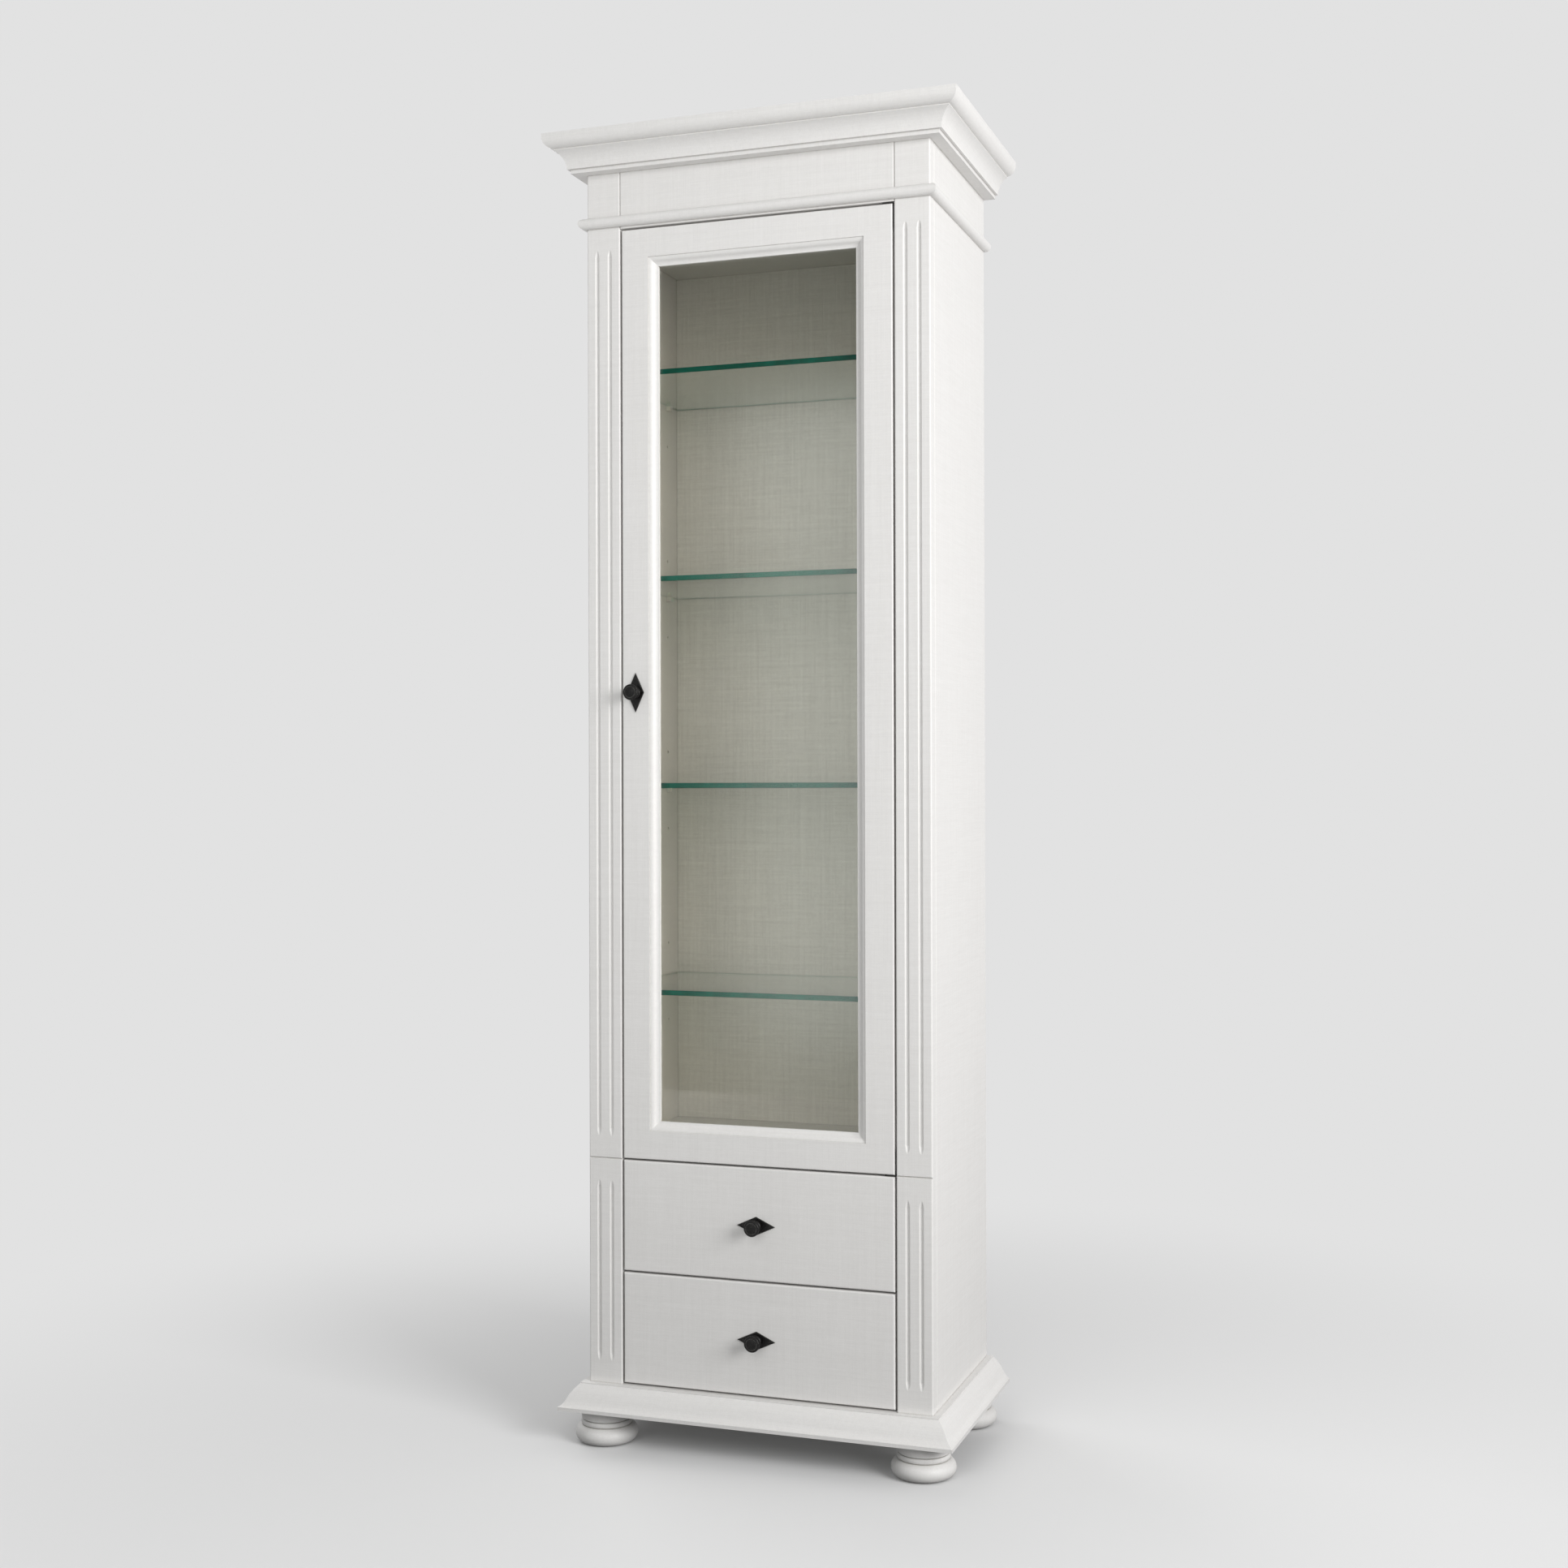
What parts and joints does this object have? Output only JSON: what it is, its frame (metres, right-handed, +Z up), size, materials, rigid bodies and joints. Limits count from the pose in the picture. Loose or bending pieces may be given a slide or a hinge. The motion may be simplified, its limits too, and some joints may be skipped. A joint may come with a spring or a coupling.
{
  "type": "display cabinet",
  "caption": "Tall narrow painted display cabinet with a glazed door over drawers, glass shelves, fluted stiles, moulded cornice and base, and turned bun feet.",
  "frame": {"origin": "on the floor under the middle of the overall box", "axes": "+Z up, -Y out of the door and drawer fronts, +X to the right seen from the front"},
  "size_m": [0.656, 0.388, 2.02],
  "materials": {
    "white_paint": "white satin paint on timber",
    "drawer_wood": "sanded, bare",
    "door_glass": "clear float glass",
    "shelf_glass": "clear float glass with ground green edges",
    "black_iron": "matt black",
    "hinge_steel": "plain",
    "fittings_plastic": "translucent white"
  },
  "bodies": {
    "carcass": {"side_panel_left": "white_paint", "side_panel_right": "white_paint", "stile_left": "white_paint", "stile_right": "white_paint", "frieze_rail": "white_paint", "sill_rail": "white_paint", "base_board": "white_paint", "top_board": "white_paint", "ceiling_panel": "white_paint", "deck_panel": "white_paint", "back_panel": "white_paint", "cornice_front": "white_paint", "cornice_left": "white_paint", "cornice_right": "white_paint", "astragal_front": "white_paint", "astragal_left": "white_paint", "astragal_right": "white_paint", "base_moulding_front": "white_paint", "base_moulding_left": "white_paint", "base_moulding_right": "white_paint", "foot_front_left": "white_paint", "foot_front_right": "white_paint", "foot_back_left": "white_paint", "foot_back_right": "white_paint", "upper_drawer_runners": "drawer_wood", "lower_drawer_runners": "drawer_wood", "glass_shelf_1": "shelf_glass", "glass_shelf_2": "shelf_glass", "glass_shelf_3": "shelf_glass", "glass_shelf_4": "shelf_glass", "shelf_pegs": "fittings_plastic", "door_catch": "fittings_plastic", "pivot_brackets": "hinge_steel"},
    "door": {"door_stile_left": "white_paint", "door_stile_right": "white_paint", "door_rail_top": "white_paint", "door_rail_bottom": "white_paint", "door_moulding_left": "white_paint", "door_moulding_right": "white_paint", "door_moulding_top": "white_paint", "door_moulding_bottom": "white_paint", "door_glass": "door_glass", "glazing_beads": "white_paint", "door_knob": "black_iron", "door_knob_plate": "black_iron", "pivot_sockets": "hinge_steel"},
    "upper_drawer": {"upper_drawer_front": "white_paint", "upper_drawer_side_left": "drawer_wood", "upper_drawer_side_right": "drawer_wood", "upper_drawer_back": "drawer_wood", "upper_drawer_bottom": "drawer_wood", "upper_drawer_knob": "black_iron", "upper_drawer_knob_plate": "black_iron"},
    "lower_drawer": {"lower_drawer_front": "white_paint", "lower_drawer_side_left": "drawer_wood", "lower_drawer_side_right": "drawer_wood", "lower_drawer_back": "drawer_wood", "lower_drawer_bottom": "drawer_wood", "lower_drawer_knob": "black_iron", "lower_drawer_knob_plate": "black_iron"}
  },
  "joints": [
    {"name": "door_swing", "type": "hinge", "parent": "carcass", "child": "door", "pos_m": [0.209, -0.135, 1.1585], "axis": [0, 0, 1], "range_deg": [0, 110]},
    {"name": "upper_drawer_slide", "type": "slide", "parent": "carcass", "child": "upper_drawer", "axis": [0, -1, 0], "range_m": [0, 0.22]},
    {"name": "lower_drawer_slide", "type": "slide", "parent": "carcass", "child": "lower_drawer", "axis": [0, -1, 0], "range_m": [0, 0.22]}
  ]
}
